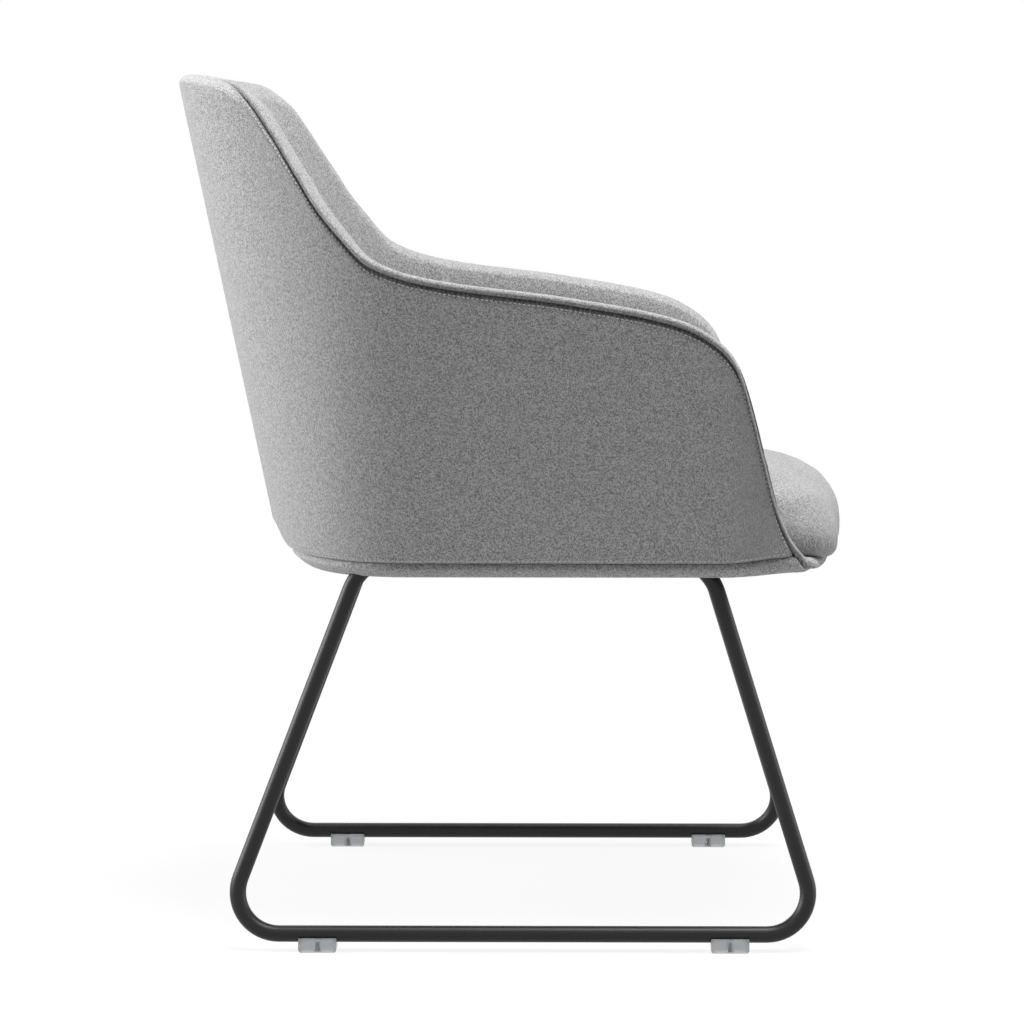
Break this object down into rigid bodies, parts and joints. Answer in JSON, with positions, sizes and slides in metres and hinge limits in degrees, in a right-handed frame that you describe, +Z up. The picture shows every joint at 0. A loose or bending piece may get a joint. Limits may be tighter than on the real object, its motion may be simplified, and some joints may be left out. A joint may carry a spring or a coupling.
{
  "type": "tub chair",
  "caption": "Upholstered tub chair: swept fabric shell with low arms, plump seat cushion and two trapezoid sled loops of black round tube on clear glides.",
  "frame": {"origin": "on the floor, under the middle of the chair's bounding box", "axes": "+Z up, the sitter faces -Y, the sitter's right hand is at -X"},
  "size_m": [0.612, 0.669, 0.841],
  "materials": {
    "black_coat": "fine matt black powder coat",
    "grey_weave": "mottled mid-grey woven upholstery",
    "foam": "cut polyurethane foam",
    "moulded_ply": "bent birch plywood",
    "zinc_steel": "zinc plated steel",
    "clear_glide": "clear injection moulded plastic",
    "black_cloth": "black non-woven dust cloth"
  },
  "bodies": {
    "root": {"sled_loop_right": "black_coat", "sled_loop_left": "black_coat", "cross_bar_rear": "black_coat", "cross_bar_front": "black_coat", "shell_core": "moulded_ply", "seat_board": "moulded_ply", "front_rail": "moulded_ply", "outer_foam": "foam", "inner_foam": "foam", "seat_foam": "foam", "outer_cover": "grey_weave", "inner_cover": "grey_weave", "bottom_band": "grey_weave", "seat_cover": "grey_weave", "front_lip": "grey_weave", "arm_toe_right": "grey_weave", "arm_toe_left": "grey_weave", "edge_screws": "zinc_steel", "mount_screws": "zinc_steel", "mount_washers": "zinc_steel", "board_nuts": "zinc_steel", "glide_rivets": "zinc_steel", "glide_rear_right": "clear_glide", "glide_front_right": "clear_glide", "glide_rear_left": "clear_glide", "glide_front_left": "clear_glide", "dust_cover": "black_cloth"}
  },
  "joints": []
}
